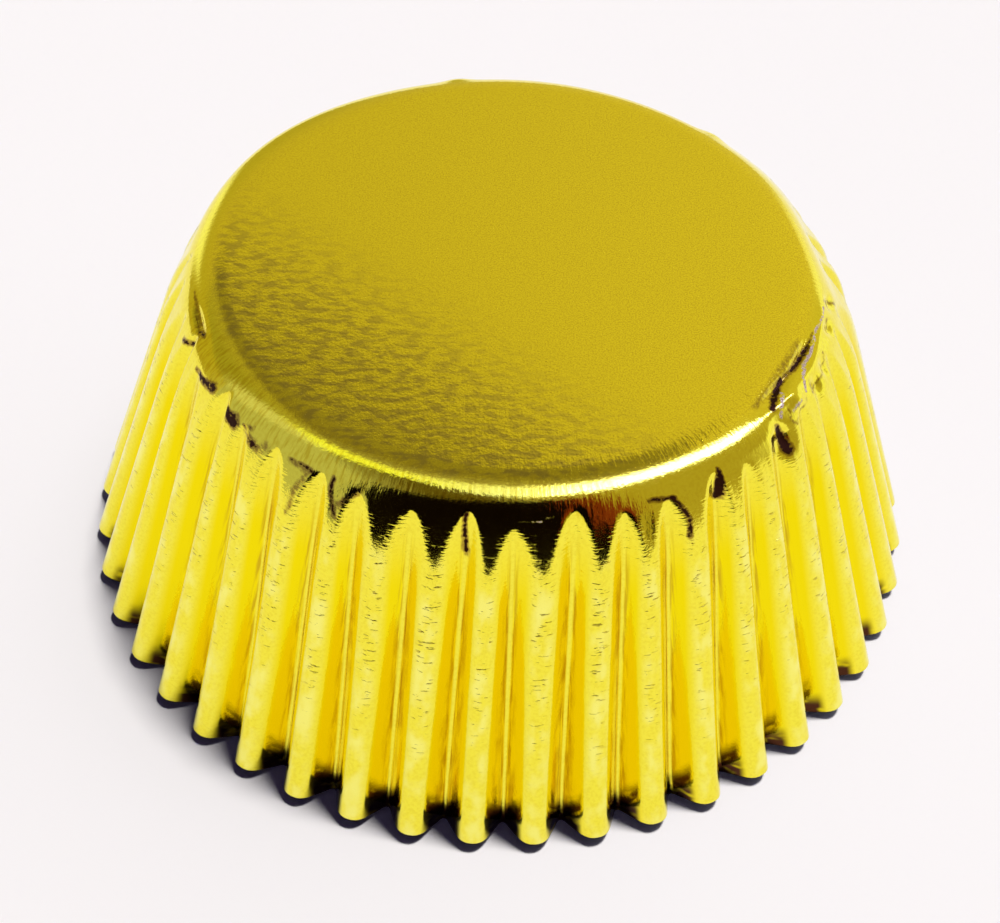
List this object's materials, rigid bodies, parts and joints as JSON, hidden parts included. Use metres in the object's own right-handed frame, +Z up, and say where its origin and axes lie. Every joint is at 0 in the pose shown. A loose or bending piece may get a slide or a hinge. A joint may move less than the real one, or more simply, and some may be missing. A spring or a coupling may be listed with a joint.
{
  "type": "cupcake liner",
  "caption": "Gold foil cupcake liner standing mouth down, with a flat round base, a rolled edge and a fluted wall that flares to the mouth.",
  "frame": {"origin": "middle of the mouth, on the surface that the liner stands on", "axes": "+Z up, from the mouth to the flat base, so the liner stands upside down as in the picture; -Y faces the viewer"},
  "size_m": [0.0754, 0.0752, 0.0305],
  "materials": {
    "gold_foil": "foil laminated paper with a bright satin gold face"
  },
  "bodies": {
    "root": {"liner": "gold_foil"}
  },
  "joints": []
}
